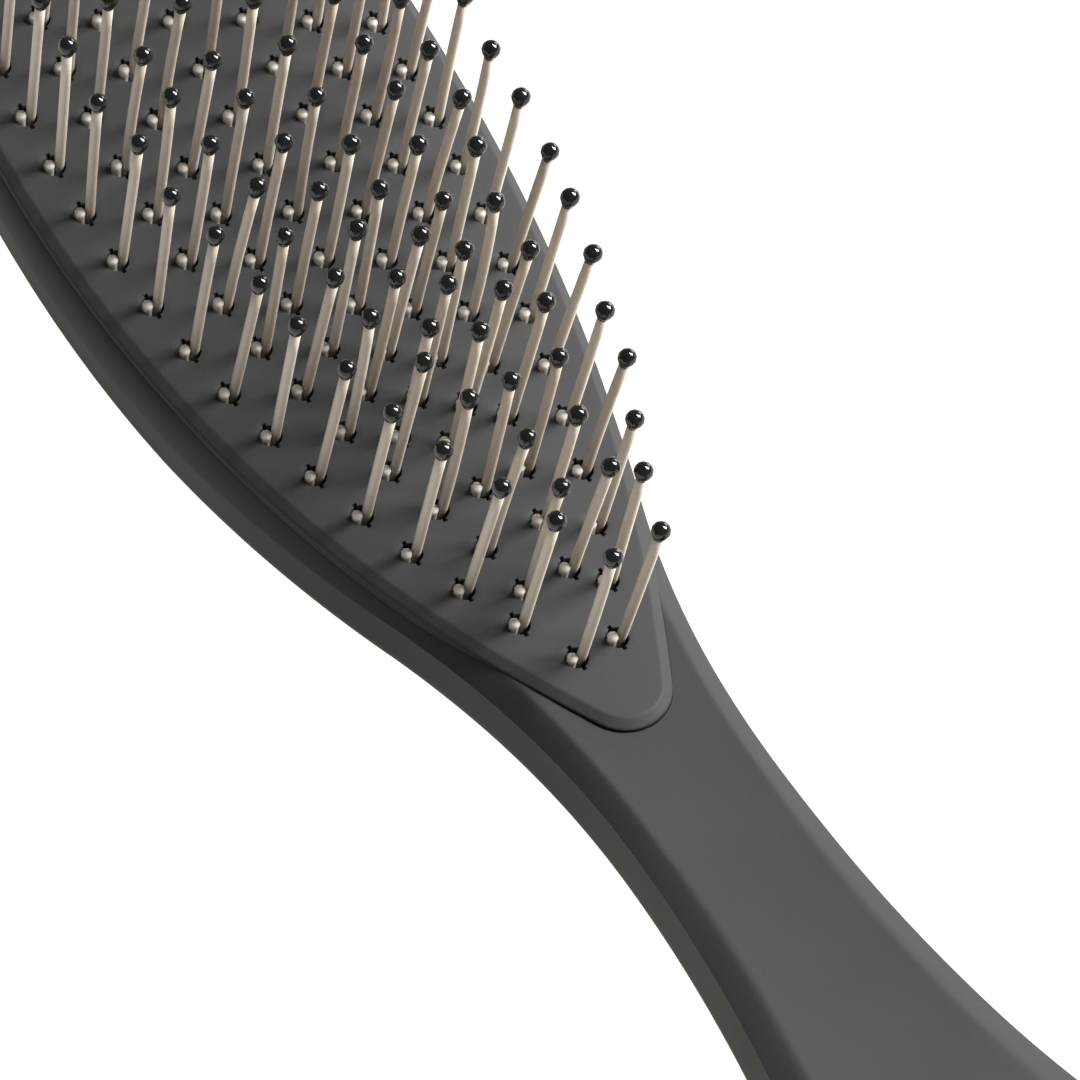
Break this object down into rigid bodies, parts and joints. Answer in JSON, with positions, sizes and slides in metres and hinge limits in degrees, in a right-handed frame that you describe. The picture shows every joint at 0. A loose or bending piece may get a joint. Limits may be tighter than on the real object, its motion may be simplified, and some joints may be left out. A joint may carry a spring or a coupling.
{
  "type": "detangler brush",
  "caption": "Detangler hairbrush with a curved head, a flared handle and ball-tipped nylon bristles set in a matte charcoal pad",
  "frame": {"origin": "bottom centre of the brush's bounding box, on the surface it rests on", "axes": "X across the brush, +Y along it from the handle's butt to the head's far end, +Z from the back up to the bristles"},
  "size_m": [0.0493, 0.22, 0.052],
  "materials": {
    "body": "satin",
    "pad": "matte",
    "bristle": "satin",
    "tip": "gloss",
    "anchor": "satin"
  },
  "bodies": {
    "root": {"brush_body": "body", "bristle_pad": "pad", "tuft_anchors": "anchor", "bristle_row_01": "bristle", "tip_row_01": "tip", "bristle_row_02": "bristle", "tip_row_02": "tip", "bristle_row_03": "bristle", "tip_row_03": "tip", "bristle_row_04": "bristle", "tip_row_04": "tip", "bristle_row_05": "bristle", "tip_row_05": "tip", "bristle_row_06": "bristle", "tip_row_06": "tip", "bristle_row_07": "bristle", "tip_row_07": "tip", "bristle_row_08": "bristle", "tip_row_08": "tip", "bristle_row_09": "bristle", "tip_row_09": "tip", "bristle_row_10": "bristle", "tip_row_10": "tip", "bristle_row_11": "bristle", "tip_row_11": "tip", "bristle_row_12": "bristle", "tip_row_12": "tip", "bristle_row_13": "bristle", "tip_row_13": "tip", "bristle_row_14": "bristle", "tip_row_14": "tip", "bristle_row_15": "bristle", "tip_row_15": "tip", "bristle_row_16": "bristle", "tip_row_16": "tip", "bristle_row_17": "bristle", "tip_row_17": "tip", "bristle_row_18": "bristle", "tip_row_18": "tip", "bristle_row_19": "bristle", "tip_row_19": "tip"}
  },
  "joints": []
}
